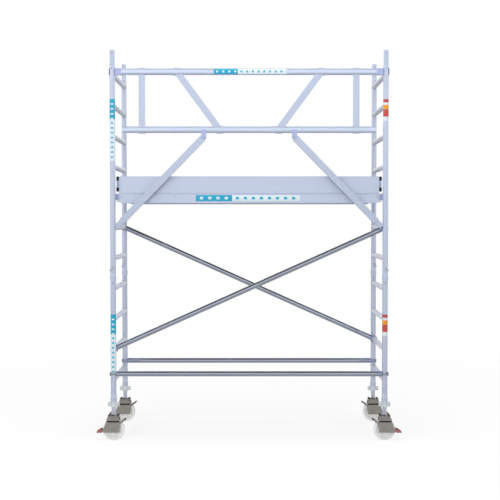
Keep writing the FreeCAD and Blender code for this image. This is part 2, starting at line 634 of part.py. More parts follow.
def spindle(leg):
    """Threaded leg with its head plate, four bolts and the king pin that the fork turns on."""
    foot = d.head_top - d.shaft_in
    shaft = cut(rod(d.spindle_od / 2, d.spindle_top - foot, (0, 0, foot)),
                rod(d.spindle_bore / 2, d.spindle_top, (0, 0, d.head_top + d.shaft_floor)))
    low = d.crown_top + d.swivel_gap
    head = rod(d.head_od / 2, d.head_top - low - d.flange_thick, (0, 0, low))
    flange = block(d.flange_long, d.flange_deep, d.flange_thick,
                   (-d.flange_long / 2, -d.flange_deep / 2, d.head_top - d.flange_thick))
    bolts = [rod(d.bolt_od / 2, d.bolt_tall, (d.bolt_x * x, d.bolt_y * y, d.head_top))
             for x in (-1, 1) for y in (-1, 1)]
    pin = rod(d.pin_od / 2, d.king_long, (0, 0, d.crown_low - d.king_under))
    keeper = rod(d.keeper_od / 2, d.keeper_thick, (0, 0, d.crown_low - d.keeper_under))
    return node(f"spindle_{leg}", fuse(shaft, head, flange, pin, keeper, *bolts))


def adjusting_nut(leg):
    """Cast wing nut that carries the post and runs on the spindle's thread."""
    tall = d.nut_high - d.nut_low
    middle = (d.nut_high + d.nut_low) / 2
    hub = rod(d.nut_od / 2, tall, (0, 0, d.nut_low))
    wings = block(d.nut_span, d.wing_thick, d.wing_tall, (-d.nut_span / 2, -d.wing_thick / 2,
                                                          middle - d.wing_tall / 2))
    bore = rod(d.spindle_od / 2 + d.nut_bore_gap / 2, tall * 2, (0, 0, d.nut_low - tall / 2))
    return node(f"adjusting_nut_{leg}", cut(fuse(hub, wings), bore))


def fork(leg):
    """Swivel fork: a crown with a deep skirt, and two tapered side plates down to the axle."""
    half = d.crown_half
    deep = d.crown_deep
    crown = block(half * 2, deep * 2, d.crown_top - d.crown_low, (-half, -deep, d.crown_low))
    skirts = [block(half * 2, deep - INNER, d.crown_top - d.crown_skirt, (-half, y, d.crown_skirt))
              for y in (-deep, INNER)]
    plates = [plate(FORK_OUTLINE, y, d.fork_plate) for y in (-INNER - d.fork_plate, INNER)]
    body = fuse(crown, *skirts, *plates)
    king = rod(d.pin_od / 2 + d.pin_gap, d.pin_od, (0, 0, d.crown_low - d.pin_od / 2))
    hole = rod(d.axle_bolt_od / 2, deep * 4, (0, -deep * 2, AXLE_Z), "y")
    return node(f"fork_{leg}", cut(body, king, hole))


def axle(leg):
    """Axle sleeve between the plates with its bolt, head and nut outside them."""
    outside = INNER + d.fork_plate
    sleeve = rod(d.axle_od / 2, INNER * 2, (0, -INNER, AXLE_Z), "y")
    reach = outside + d.axle_bolt_out
    bolt = rod(d.axle_bolt_od / 2, reach * 2, (0, -reach, AXLE_Z), "y")
    head = rod(d.axle_head_od / 2, d.axle_head_out, (0, -outside - d.axle_head_out, AXLE_Z), "y")
    nut = rod(d.axle_head_od / 2, d.axle_head_out, (0, outside, AXLE_Z), "y")
    return node(f"axle_{leg}", fuse(sleeve, bolt, head, nut))


def wheel(leg):
    """Solid nylon wheel: rounded tread, dished web and a long hub with a plain bore."""
    tread = d.wheel_od / 2
    rim = d.rim_inner / 2
    hub = d.hub_od / 2
    bore = d.axle_od / 2 + d.pin_gap
    half = d.wheel_wide / 2
    web = half - d.web_recess
    out = d.hub_wide / 2
    edge = d.tread_edge
    bevel = d.tread_bevel
    right = [(bore, out), (hub - d.hub_chamfer, out), (hub, web), (rim - d.rim_step, web), (rim, half),
             (tread - edge, half), (tread - bevel, half - bevel), (tread, half - edge)]
    left = [(radius, -y) for radius, y in reversed(right)]
    return node(f"wheel_{leg}", put(turned(right + left), (0, 0, AXLE_Z)))


def brake_rocker(leg):
    """Two cheeks that rock on the axle between wheel and fork, with the pedal and release lever."""
    inner = d.hub_wide / 2 + d.cheek_gap
    low = -inner - d.cheek
    cheeks = [plate(ROCKER_OUTLINE, y, d.cheek) for y in (low, inner)]
    across = low * -2
    tread = block(d.tread_long, across, d.tread_thick, (-d.tread_at, low, d.tread_low))
    lip = rod(d.lip_od / 2, across, (-d.lip_at, low, d.lip_up), "y")
    stop = rod(d.stop_od / 2, across, (-d.stop_at, low, d.stop_up), "y")
    grip = rod(d.grip_od / 2, across, (d.grip_at, low, d.grip_up), "y")
    body = fuse(*cheeks, tread, lip, stop, grip)
    bore = rod(d.axle_od / 2 + d.pin_gap, across * 2, (0, -across, AXLE_Z), "y")
    return node(f"brake_pedal_{leg}", cut(body, bore))


HALF_TURN = FreeCAD.Rotation(Z_AXIS, 180)
for depth, y_sign in DEPTHS.items():
    for side, x_sign in SIDES.items():
        leg = f"{depth}_{side}"
        under_post = (HALF_BAY * x_sign, HALF_DEPTH * y_sign, 0)
        facing = HALF_TURN if x_sign > 0 else None
        for make in (spindle, adjusting_nut):
            put(make(leg), under_post)
        for make in (fork, axle, wheel, brake_rocker):
            put(make(leg), under_post, facing)

doc.recompute()
for item in doc.Objects:
    if "Invalid" in item.State or "Error" in item.State:
        raise RuntimeError(f"{item.Name} did not recompute: {item.State}")
os.makedirs("parts", exist_ok=True)
total = 0
for item in nodes:
    shape = item.Shape
    if shape.isNull() or not shape.isValid() or not shape.Solids:
        raise RuntimeError(f"{item.Label} has no valid solid")
    shape.exportStep(f"parts/{item.Label}.step")
    total += shape.Volume
print(len(nodes), "nodes,", round(total / 1000), "cm3")
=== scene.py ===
"""Looks of the mobile tower scaffold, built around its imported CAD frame. Metres, Z up."""
import json
import math

import bmesh
import bpy
from mathutils import Matrix, Vector


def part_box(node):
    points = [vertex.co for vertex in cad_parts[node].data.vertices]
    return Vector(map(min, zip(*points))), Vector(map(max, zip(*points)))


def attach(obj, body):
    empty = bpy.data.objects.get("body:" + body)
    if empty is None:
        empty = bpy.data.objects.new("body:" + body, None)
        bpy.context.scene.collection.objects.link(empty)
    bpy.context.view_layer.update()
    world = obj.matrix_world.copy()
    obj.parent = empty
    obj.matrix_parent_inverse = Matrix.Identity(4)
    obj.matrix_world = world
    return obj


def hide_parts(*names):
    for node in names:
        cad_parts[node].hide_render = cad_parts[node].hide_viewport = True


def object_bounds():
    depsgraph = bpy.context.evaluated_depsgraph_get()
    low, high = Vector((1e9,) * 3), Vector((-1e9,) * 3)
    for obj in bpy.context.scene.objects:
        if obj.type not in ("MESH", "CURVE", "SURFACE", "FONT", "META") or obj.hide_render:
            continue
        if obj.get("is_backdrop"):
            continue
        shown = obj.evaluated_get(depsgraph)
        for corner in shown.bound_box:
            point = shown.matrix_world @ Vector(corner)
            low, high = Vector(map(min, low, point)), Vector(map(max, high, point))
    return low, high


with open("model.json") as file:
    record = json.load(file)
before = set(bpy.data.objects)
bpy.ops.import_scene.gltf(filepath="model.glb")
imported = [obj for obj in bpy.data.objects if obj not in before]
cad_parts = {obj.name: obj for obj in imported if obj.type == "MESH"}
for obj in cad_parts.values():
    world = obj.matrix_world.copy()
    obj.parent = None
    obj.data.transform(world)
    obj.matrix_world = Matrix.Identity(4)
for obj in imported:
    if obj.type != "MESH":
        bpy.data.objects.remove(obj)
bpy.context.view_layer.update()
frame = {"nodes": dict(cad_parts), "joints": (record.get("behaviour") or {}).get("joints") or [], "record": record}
JOINTS = {joint["name"]: joint for joint in frame["joints"]}
LEGS = [f"{depth}_{side}" for depth in ("near", "far") for side in ("left", "right")]
BODY_OF = {node: body for body, nodes in frame["record"]["behaviour"]["bodies"].items() for node in nodes}
AXIS = {leg: Vector(JOINTS[f"fork_swivel_{leg}"]["pos_m"]) for leg in LEGS}
HALF_BAY = AXIS["near_right"].x
HALF_DEPTH = AXIS["far_right"].y


# Materials: each is a node tree of grain, colour drift, roughness drift and fine relief.
NOISE_LOW = 0.3
NOISE_HIGH = 0.7
ROUGH_DRIFT = 0.15


def linear(red, green, blue):
    """An 8-bit display colour as the linear colour that a shader takes."""
    return tuple((channel / 255) ** 2.2 for channel in (red, green, blue))


def shader_of(mat):
    """The material's one principled shader."""
    return mat.node_tree.nodes["Principled BSDF"]


def grain(mat, scale, stretch, detail=4.0):
    """Noise in object space, stretched along an axis by a small scale on it."""
    tree = mat.node_tree
    place = tree.nodes.new("ShaderNodeTexCoord")
    mapping = tree.nodes.new("ShaderNodeMapping")
    mapping.inputs["Scale"].default_value = stretch
    noise = tree.nodes.new("ShaderNodeTexNoise")
    noise.inputs["Scale"].default_value = scale
    noise.inputs["Detail"].default_value = detail
    tree.links.new(place.outputs["Object"], mapping.inputs["Vector"])
    tree.links.new(mapping.outputs["Vector"], noise.inputs["Vector"])
    return noise.outputs["Fac"]


def ramp(mat, factor, low, high):
    """A colour that runs from low to high with the noise."""
    tree = mat.node_tree
    node = tree.nodes.new("ShaderNodeValToRGB")
    node.color_ramp.elements[0].position = NOISE_LOW
    node.color_ramp.elements[0].color = (*low, 1)
    node.color_ramp.elements[1].position = NOISE_HIGH
    node.color_ramp.elements[1].color = (*high, 1)
    tree.links.new(factor, node.inputs["Fac"])
    return node.outputs["Color"]


def spread(tree, factor, low, high, start=NOISE_LOW, end=NOISE_HIGH):
    """A number that runs from low to high while the factor runs from start to end."""
    node = tree.nodes.new("ShaderNodeMapRange")
    node.inputs["From Min"].default_value = start
    node.inputs["From Max"].default_value = end
    node.inputs["To Min"].default_value = low
    node.inputs["To Max"].default_value = high
    tree.links.new(factor, node.inputs["Value"])
    return node.outputs["Result"]


def relief(mat, factor, strength, distance):
    """Bumps on the surface, as high as the factor says."""
    tree = mat.node_tree
    bump = tree.nodes.new("ShaderNodeBump")
    bump.inputs["Strength"].default_value = strength
    bump.inputs["Distance"].default_value = distance
    tree.links.new(factor, bump.inputs["Height"])
    tree.links.new(bump.outputs["Normal"], shader_of(mat).inputs["Normal"])


def surface(name, colour, metallic, rough, drift=0.05, scale=9.0, stretch=(1, 1, 1), bump=0.15,
            bump_scale=420.0, depth=0.0003):
    """A finish whose colour and roughness drift slowly, over a fine relief."""
    mat = bpy.data.materials.new(name)
    mat.use_nodes = True
    shader = shader_of(mat)
    base = linear(*colour)
    slow = grain(mat, scale, stretch)
    low = tuple(channel * (1 - drift) for channel in base)
    high = tuple(min(channel * (1 + drift), 1) for channel in base)
    links = mat.node_tree.links
    links.new(ramp(mat, slow, low, high), shader.inputs["Base Color"])
    roughness = spread(mat.node_tree, slow, rough * (1 - ROUGH_DRIFT), rough * (1 + ROUGH_DRIFT))
    links.new(roughness, shader.inputs["Roughness"])
    shader.inputs["Metallic"].default_value = metallic
    relief(mat, grain(mat, bump_scale, stretch, 2.0), bump, depth)
    return mat


PRINT_SCALE = 60.0


def plywood():
    """Dark phenolic film with the fine square print of an anti-slip deck."""
    mat = surface("deck_film", (92, 66, 48), 0.0, 0.55, 0.2, 14.0, (0.3, 1, 1), 0.0)
    tree = mat.node_tree
    place = tree.nodes.new("ShaderNodeTexCoord")
    heights = []
    for direction in ("X", "Y"):
        wave = tree.nodes.new("ShaderNodeTexWave")
        wave.bands_direction = direction
        wave.inputs["Scale"].default_value = PRINT_SCALE
        tree.links.new(place.outputs["Object"], wave.inputs["Vector"])
        heights.append(wave.outputs["Fac"])
    both = tree.nodes.new("ShaderNodeMath")
    both.operation = "MAXIMUM"
    tree.links.new(heights[0], both.inputs[0])
    tree.links.new(heights[1], both.inputs[1])
    relief(mat, both.outputs["Value"], 0.5, 0.0006)
    return mat


def nylon():
    """Natural nylon: milky, so that a little light passes into it."""
    mat = surface("natural_nylon", (214, 214, 213), 0.0, 0.38, 0.03, 22.0, bump=0.1, bump_scale=260.0)
    shader = shader_of(mat)
    shader.inputs["Subsurface Weight"].default_value = 0.35
    shader.inputs["Subsurface Radius"].default_value = (0.012, 0.012, 0.011)
    shader.inputs["Subsurface Scale"].default_value = 1.0
    return mat


ALONG_Z = (1, 1, 0.03)
ALONG_X = (0.03, 1, 1)
ALONG_Y = (1, 0.03, 1)
FINISH = {
    "post": surface("post_aluminium", (203, 211, 232), 0.72, 0.42, 0.05, 40.0, ALONG_Z, 0.12, 900.0),
    "rail": surface("rail_aluminium", (212, 222, 245), 0.72, 0.36, 0.05, 40.0, ALONG_X, 0.12, 900.0),
    "bar": surface("flat_bar_aluminium", (189, 199, 220), 0.72, 0.3, 0.05, 40.0, ALONG_Z, 0.12, 900.0),
    "rung": surface("rung_aluminium", (216, 220, 233), 0.66, 0.38, 0.06, 40.0, ALONG_Y, 0.12, 900.0),
    "board": surface("board_aluminium", (198, 208, 229), 0.6, 0.45, 0.03, 30.0, ALONG_X, 0.1, 900.0),
    "spigot": surface("spigot_aluminium", (188, 198, 220), 0.75, 0.34, 0.05, 40.0, ALONG_Z, 0.12, 900.0),
    "casting": surface("cast_aluminium", (178, 188, 228), 0.65, 0.46, 0.09, 60.0, bump=0.35,
                       bump_scale=300.0),
    "brace": surface("bright_tube", (188, 195, 210), 0.98, 0.11, 0.06, 30.0, (0.05, 1, 1), 0.06, 700.0),
    "claw": surface("bright_casting", (176, 184, 212), 0.92, 0.24, 0.1, 60.0, bump=0.3, bump_scale=300.0),
    "zinc": surface("zinc_plate", (172, 176, 184), 0.9, 0.32, 0.12, 90.0, bump=0.2, bump_scale=500.0),
    "thread": surface("spindle_zinc", (212, 218, 234), 0.85, 0.34, 0.08, 60.0, bump=0.15, bump_scale=600.0),
    "nut": surface("galvanised_casting", (210, 217, 220), 0.5, 0.5, 0.1, 80.0, bump=0.5, bump_scale=260.0),
    "castor": surface("castor_steel", (150, 146, 141), 0.55, 0.42, 0.09, 50.0, bump=0.2, bump_scale=380.0),
    # dark: dark steel for bolts, rivets and pedal stops; also painted shade under the fork skirts and on the front
    # of each flange.
    "dark": surface("dark_steel_and_painted_shade", (44, 44, 45), 0.6, 0.45, 0.15, 80.0, bump=0.25, bump_scale=400.0),
    "red": surface("red_paint", (158, 98, 99), 0.15, 0.4, 0.12, 60.0, bump=0.25, bump_scale=300.0),
    "black": surface("black_plastic", (18, 19, 21), 0.0, 0.5, 0.2, 120.0, bump=0.3, bump_scale=700.0),
    "teal": surface("teal_film", (20, 148, 184), 0.0, 0.35, 0.04, 60.0, bump=0.05),
    "pale": surface("pale_film", (196, 208, 214), 0.0, 0.38, 0.02, 60.0, bump=0.05),
    "orange": surface("orange_film", (214, 140, 40), 0.0, 0.38, 0.04, 60.0, bump=0.05),
    "crimson": surface("crimson_film", (176, 66, 64), 0.0, 0.38, 0.04, 60.0, bump=0.05),
    "weld": surface("weld_bead", (206, 210, 220), 0.8, 0.3, 0.1, 200.0, bump=0.6, bump_scale=500.0),
    "deck": plywood(),
    "nylon": nylon(),
}


# Mesh helpers.
def piece(name, mesh, finish, body, smooth=40):
    """A new visible piece: its mesh, finish and the CAD body that it rides on."""
    mesh.materials.clear()
    mesh.materials.append(FINISH[finish])
    obj = bpy.data.objects.new(name, mesh)
    bpy.context.scene.collection.objects.link(obj)
    mesh.shade_smooth()
    mesh.set_sharp_from_angle(angle=math.radians(smooth))
    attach(obj, body)
    return obj


def mesh_from(build):
    """Runs build on an empty bmesh and returns the mesh."""
    work = bmesh.new()
    build(work)
    bmesh.ops.recalc_face_normals(work, faces=work.faces)
    mesh = bpy.data.meshes.new("made")
    work.to_mesh(mesh)
    work.free()
    return mesh


def skin(work, rings, closed=True):
    """Faces between each row of vertices and the next; a closed row is a loop."""
    for low, high in zip(rings, rings[1:]):
        count = len(low)
        for step in range(count if closed else count - 1):
            after = (step + 1) % count
            work.faces.new((low[step], low[after], high[after], high[step]))


def spin(work, profile, centre, axis="Z", steps=48):
    """A closed solid of revolution from (radius, height) points about an axis through centre."""
    turn = {"Z": Matrix(), "Y": Matrix.Rotation(-math.pi / 2, 4, "X")}[axis]
    rings = []
    for radius, height in profile:
        ring = []
        for step in range(steps):
            angle = 2 * math.pi * step / steps
            spot = turn @ Vector((radius * math.cos(angle), radius * math.sin(angle), height))
            ring.append(work.verts.new(centre + spot))
        rings.append(ring)
    skin(work, rings + rings[:1])


CORE = 0.0005


def drum(radius, low, high, edge=0.001):
    """The profile of a solid cylinder with eased edges, closed on a hair-thin core."""
    return [(CORE, low), (radius - edge, low), (radius, low + edge), (radius, high - edge),
            (radius - edge, high), (CORE, high)]


def bolt_head(work, radius, tall, base):
    """A hexagonal bolt head on its washer."""
    washer = 0.0012
    spin(work, drum(radius, 0, tall, washer), base, steps=6)
    spin(work, drum(radius * 1.25, -washer, washer, washer / 3), base, steps=24)


def rivet(work, radius, shoulder, tall, side, spot, steps):
    """A domed rivet head on a face across Y; side is the way it stands."""
    core = 0.0004
    dome = 0.0008
    profile = [(core, 0), (radius, 0), (radius - dome, shoulder * side), (core, tall * side)]
    spin(work, profile, spot, "Y", steps)


def eased_box(work, low, high, edge=0.0015):
    """A box from its low corner to its high one, with eased edges."""
    made = bmesh.ops.create_cube(work, size=1)
    verts = made["verts"]
    size = Vector(high) - Vector(low)
    bmesh.ops.scale(work, vec=size, verts=verts)
    bmesh.ops.translate(work, vec=(Vector(high) + Vector(low)) / 2, verts=verts)
    edges = list({link for vert in verts for link in vert.link_edges})
    bmesh.ops.bevel(work, geom=edges, offset=edge, segments=2, affect="EDGES", profile=0.5)


SAME_SPOT = 1e-5
FLAT = math.radians(0.5)


def rounded(node, width, finish, limit=35, name="eased", keep=None):
    """Stands for a CAD node with the same shape, its sharp edges eased by width.

    keep is (x, side): only what lies on that side of a plane across X is kept.
    """
    mesh = frame["nodes"][node].data.copy()
    work = bmesh.new()
    work.from_mesh(mesh)
    bmesh.ops.remove_doubles(work, verts=work.verts, dist=SAME_SPOT)
    bmesh.ops.dissolve_limit(work, angle_limit=FLAT, verts=work.verts, edges=work.edges)
    if keep is not None:
        x, side = keep
        cut = bmesh.ops.bisect_plane(work, geom=[*work.verts, *work.edges, *work.faces], dist=SAME_SPOT / 10,
                                     plane_co=(x, 0, 0), plane_no=(side, 0, 0), clear_inner=True)
        rims = [item for item in cut["geom_cut"] if isinstance(item, bmesh.types.BMEdge)]
        bmesh.ops.holes_fill(work, edges=rims)
    work.to_mesh(mesh)
    work.free()
    obj = piece(f"{node}_{name}", mesh, finish, BODY_OF[node], 32)
    bevel = obj.modifiers.new("ease", "BEVEL")
    bevel.width = width
    bevel.segments = 2
    bevel.limit_method = "ANGLE"
    bevel.angle_limit = math.radians(limit)
    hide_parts(node)
    return obj


def finish_nodes(names, finish):
    """Gives CAD nodes that stay as they are their finish."""
    for name in names:
        mesh = frame["nodes"][name].data
        mesh.materials.clear()
        mesh.materials.append(FINISH[finish])


# CAD nodes shown as they are, then the ribbed rungs with their weld beads.
NODES = list(frame["nodes"])
finish_nodes([name for name in NODES if "_posts_" in name], "post")
finish_nodes(["frame_spigots"], "spigot")
finish_nodes(["frame_locking_clips"], "zinc")
finish_nodes([name for name in NODES if name.endswith("_brace")], "brace")
finish_nodes(["guardrail_top_rail", "guardrail_knee_rail"], "rail")
finish_nodes(["platform_deck"], "deck")
POST_RADIUS = 0.0254
RUNG_RADIUS = (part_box("upper_rungs_left")[1].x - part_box("upper_rungs_left")[0].x) / 2
RUNG_PITCH = 0.28


def ribbed_rung(work, x, z):
    """A rung with shallow grooves between its anti-slip ribs; its ends stop inside the post walls."""
    ribs, per_rib = 20, 4
    groove = 0.0012
    into_wall = 0.0015
    reach = HALF_DEPTH - POST_RADIUS + into_wall
    rings = []
    for y in (-reach, reach):
        ring = []
        for step in range(ribs * per_rib):
            angle = 2 * math.pi * step / (ribs * per_rib)
            radius = RUNG_RADIUS - (groove if step % per_rib == 0 else 0)
            ring.append(work.verts.new((x + radius * math.cos(angle), y, z + radius * math.sin(angle))))
        rings.append(ring)
    skin(work, rings)
    work.faces.new(rings[0])
    work.faces.new(rings[1])


def weld_bead(work, x, z, sign):
    """A rippled bead that follows the line where a rung meets its post."""
    turns, sides = 40, 6
    bead = 0.0024
    ripples, ripple_size = 23, 0.12
    post_y = HALF_DEPTH * sign
    rings = []
    for step in range(turns):
        angle = 2 * math.pi * step / turns
        out = Vector((math.cos(angle), 0, math.sin(angle)))
        across = RUNG_RADIUS * math.cos(angle)
        dip = math.sqrt(POST_RADIUS ** 2 - across ** 2)
        spot = Vector((x, post_y - dip * sign, z)) + out * RUNG_RADIUS
        size = bead * (1 + ripple_size * math.sin(angle * ripples))
        inward = Vector((0, -sign, 0))
        rings.append([work.verts.new(spot + (out * math.cos(turn) + inward * math.sin(turn)) * size)
                      for turn in [2 * math.pi * side / sides for side in range(sides)]])
    skin(work, rings + rings[:1])


for name in [name for name in NODES if "_rungs_" in name]:
    low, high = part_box(name)
    x = (low.x + high.x) / 2
    count = round((high.z - low.z - 2 * RUNG_RADIUS) / RUNG_PITCH) + 1
    levels = [low.z + RUNG_RADIUS + RUNG_PITCH * step for step in range(count)]
    rungs = piece(f"{name}_ribbed", mesh_from(lambda work: [ribbed_rung(work, x, z) for z in levels]),
                  "rung", "tower", 30)
    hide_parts(name)
    piece(f"{name}_welds", mesh_from(lambda work: [weld_bead(work, x, z, sign) for z in levels
                                                   for sign in (-1, 1)]), "weld", "tower", 60)


# Castings, bars, boards, hooks and steel parts: the width that eases their edges, and their finish.
EASED = {
    "brace_claws": (0.0025, "claw"), "brace_claw_latches": (0.001, "zinc"),
    "guardrail_posts": (0.0012, "bar"), "guardrail_struts": (0.0012, "bar"),
    "guardrail_end_claws": (0.0025, "casting"), "guardrail_hinge_brackets": (0.001, "casting"),
    "guardrail_arm_left": (0.005, "bar"), "guardrail_arm_right": (0.005, "bar"),
    "platform_side_beams": (0.0015, "board"), "platform_cross_beams": (0.0015, "board"),
    "platform_hooks": (0.002, "casting"), "long_toe_boards": (0.0015, "board"),
    "end_toe_boards": (0.0015, "board"), "toe_board_clips": (0.003, "black"),
    "trapdoor_hinges": (0.0006, "zinc"), "trapdoor_latch": (0.001, "zinc"), "trapdoor": (0.001, "deck"),
    "wind_lock_left": (0.0012, "zinc"), "wind_lock_right": (0.0012, "zinc"),
}
# Nodes that clasp the rails, and how far their bands stand past a rail.
BANDED = ("guardrail_posts", "guardrail_struts")
BAND_REACH = 0.006
# Where the painted tread meets the steel rocker, measured outwards from the swivel axis.
PEDAL_SEAM = 0.1


def clad_bands(obj):
    """Gives the bands that clasp the two rails the rails' finish; the bar between them keeps its own."""
    obj.data.materials.append(FINISH["rail"])
    for rail in ("guardrail_top_rail", "guardrail_knee_rail"):
        low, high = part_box(rail)
        for face in obj.data.polygons:
            if low.z - BAND_REACH < face.center.z < high.z + BAND_REACH:
                face.material_index = 1


for name, (width, finish) in EASED.items():
    eased = rounded(name, width, finish)
    if name in BANDED:
        clad_bands(eased)
for leg in LEGS:
    rounded(f"fork_{leg}", 0.0014, "castor", 50)
    rounded(f"axle_{leg}", 0.0006, "castor")
    out = -1 if AXIS[leg].x < 0 else 1
    seam = AXIS[leg].x + PEDAL_SEAM * out
    rounded(f"brake_pedal_{leg}", 0.001, "red", 50, "tread", (seam, out))
    rounded(f"brake_pedal_{leg}", 0.001, "castor", 50, "rocker", (seam, -out))


# Castors: what turns or slides is a body of its own, and each function dresses one of them.
THREAD_PITCH = 0.012
THREAD_CREST = 0.021
THREAD_ROOT = 0.0192
FLANGE_RISE = 0.019
NUT_SPAN = 0.108
NUT_BORE = 0.02115
WHEEL_RADIUS = 0.1
WHEEL_RIBS = 8


def threaded_leg(work, centre, low, high):
    """A rope-threaded spindle: its radius follows the phase of the helix."""
    columns, per_turn = 28, 8
    steepness = 1.6
    middle = (THREAD_CREST + THREAD_ROOT) / 2
    depth = (THREAD_CREST - THREAD_ROOT) / 2
    rows = int((high - low) / THREAD_PITCH * per_turn)
    rings = []
    for row in range(rows + 1):
        z = low + (high - low) * row / rows
        ring = []
        for column in range(columns):
            angle = 2 * math.pi * column / columns
            phase = math.cos(2 * math.pi * z / THREAD_PITCH - angle)
            radius = middle + depth * max(-1, min(1, phase * steepness))
            ring.append(work.verts.new((centre.x + radius * math.cos(angle),
                                        centre.y + radius * math.sin(angle), z)))
        rings.append(ring)
    skin(work, rings)
    work.faces.new(rings[0])
    work.faces.new(rings[-1])


def jack(leg):
    """Spindle, head drum, flange and bolts, king pin, the eyelet on the flange, and a dark stud beside it that is
    painted shade.
    """
    centre = AXIS[leg].copy()
    centre.z = 0
    low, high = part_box(f"spindle_{leg}")
    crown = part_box(f"fork_{leg}")[1].z
    body = f"jack_{leg}"
    top = crown + FLANGE_RISE
    thread = piece(f"spindle_thread_{leg}", mesh_from(lambda work: threaded_leg(work, centre, top, high.z)),
                   "thread", body, 60)

    def head(work):
        """The bearing drum on the crown, the flange over it, its collar, and the pin with its end washer."""
        drum_radius, drum_gap = 0.0545, 0.0006
        flange_half_wide, flange_half_deep, flange_thick = 0.052, 0.042, 0.007
        collar_bore, collar_foot, collar_top = 0.0212, 0.028, 0.0245
        pin_radius, washer_radius, washer_thick = 0.012, 0.019, 0.003
        spin(work, drum(drum_radius, crown + drum_gap, top - 0.006, 0.0018), centre)
        eased_box(work, (centre.x - flange_half_wide, centre.y - flange_half_deep, top - flange_thick),
                  (centre.x + flange_half_wide, centre.y + flange_half_deep, top), 0.002)
        spin(work, [(collar_bore, top), (collar_foot, top), (collar_top, top + 0.006),
                    (collar_bore, top + 0.008)], centre)
        spin(work, drum(pin_radius, low.z, crown), centre)
        spin(work, drum(washer_radius, low.z, low.z + washer_thick, 0.0006), centre)

    head_piece = piece(f"castor_head_{leg}", mesh_from(head), "castor", body)

    def bolts(work):
        for x in (-0.04, 0.04):
            for y in (-0.03, 0.03):
                bolt_head(work, 0.0095, 0.007, centre + Vector((x, y, top)))

    piece(f"head_bolts_{leg}", mesh_from(bolts), "dark", body, 30)

    def eyelet(work):
        """Grease eyelet standing on the front edge of the flange, beside a dark round stud that is painted shade
        on the flange.
        """
        front = centre + Vector((-0.022, -0.036, top + 0.002))
        turn = Matrix.Rotation(math.pi / 2, 4, "X")
        steps, sides, ring_radius, wire = 28, 10, 0.0085, 0.0024
        rings = []
        for step in range(steps):
            angle = 2 * math.pi * step / steps
            out = Vector((math.cos(angle), math.sin(angle), 0))
            rings.append([work.verts.new(front + turn @ (out * (ring_radius + wire * math.cos(a))
                                                         + Vector((0, 0, wire * math.sin(a)))))
                          for a in [2 * math.pi * side / sides for side in range(sides)]])
        skin(work, rings + rings[:1])
        # Painted shade: the dark stud stands for a spot of shade on the front of the flange.
        spin(work, drum(0.006, 0, 0.009), centre + Vector((-0.002, -0.036, top)), steps=24)

    piece(f"head_eyelet_and_shade_dot_{leg}", mesh_from(eyelet), "dark", body)
    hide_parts(f"spindle_{leg}")
    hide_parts(f"spindle_{leg}")


def wing_nut(leg):
    """Cast hub with a flange at each end, two square lugs and a raised ring on each lug."""
    low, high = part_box(f"adjusting_nut_{leg}")
    centre = AXIS[leg].copy()
    centre.z = low.z
    tall = high.z - low.z
    middle = (low.z + high.z) / 2

    def build(work):
        lug_in, lug_half_deep, lug_half_tall = 0.022, 0.008, 0.0205
        ring_at, ring_in, ring_out, ring_rise = 0.043, 0.0055, 0.0085, 0.0012
        spin(work, [(NUT_BORE, 0), (0.0232, 0), (0.0255, 0.003), (0.026, 0.009), (0.0242, 0.012),
                    (0.0242, tall - 0.014), (0.026, tall - 0.01), (0.026, tall - 0.002),
                    (0.0245, tall), (NUT_BORE, tall)], centre, steps=56)
        for sign in (-1, 1):
            left, right = sorted((lug_in * sign, NUT_SPAN / 2 * sign))
            eased_box(work, (centre.x + left, centre.y - lug_half_deep, middle - lug_half_tall),
                      (centre.x + right, centre.y + lug_half_deep, middle + lug_half_tall), 0.004)
            for side in (-1, 1):
                rise = ring_rise * side
                spot = Vector((centre.x + ring_at * sign, centre.y + lug_half_deep * side, middle))
                spin(work, [(ring_in, 0), (ring_out, 0), (ring_out, rise), (ring_in, rise)], spot, "Y", 24)

    nut = piece(f"wing_nut_{leg}", mesh_from(build), "nut", f"nut_{leg}")
    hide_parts(f"adjusting_nut_{leg}")


def wheel(leg):
    """Nylon wheel: crowned tread, ribbed dished web, hub with bearing seats."""
    low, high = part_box(f"wheel_{leg}")
    centre = (low + high) / 2
    centre.y = AXIS[leg].y
    centre.z = WHEEL_RADIUS
    body = f"roller_{leg}"

    def build(work):
        rib_long, rib_wide, rib_thick = 0.044, 0.0045, 0.005
        rib_at, rib_out = 0.054, 0.0162
        side = [(0.0101, 0.025), (0.0285, 0.025), (0.031, 0.022), (0.034, 0.015), (0.070, 0.0135),
                (0.0765, 0.017), (0.0785, 0.0218), (0.092, 0.022), (0.0968, 0.0206), (0.0992, 0.0178),
                (0.09985, 0.012), (WHEEL_RADIUS, 0.006)]
        spin(work, side + [(radius, -y) for radius, y in reversed(side)], centre, "Y", 96)
        for step in range(WHEEL_RIBS):
            turn = Matrix.Rotation(2 * math.pi * (step + 0.5) / WHEEL_RIBS, 4, "Y")
            for sign in (-1, 1):
                made = bmesh.ops.create_cube(work, size=1)
                verts = made["verts"]
                bmesh.ops.scale(work, vec=(rib_long, rib_wide, rib_thick), verts=verts)
                bmesh.ops.translate(work, vec=(rib_at, rib_out * sign, 0), verts=verts)
                bmesh.ops.rotate(work, matrix=turn.to_3x3(), verts=verts)
                bmesh.ops.translate(work, vec=centre, verts=verts)

    tyre = piece(f"nylon_wheel_{leg}", mesh_from(build), "nylon", body)

    def seats(work):
        bore, rim = 0.0103, 0.0205
        for sign in (-1, 1):
            inner, outer = 0.0242 * sign, 0.0254 * sign
            spin(work, [(bore, inner), (rim, inner), (rim, outer), (bore, outer)], centre, "Y", 40)

    piece(f"bearing_seats_{leg}", mesh_from(seats), "zinc", body)
    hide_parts(f"wheel_{leg}")


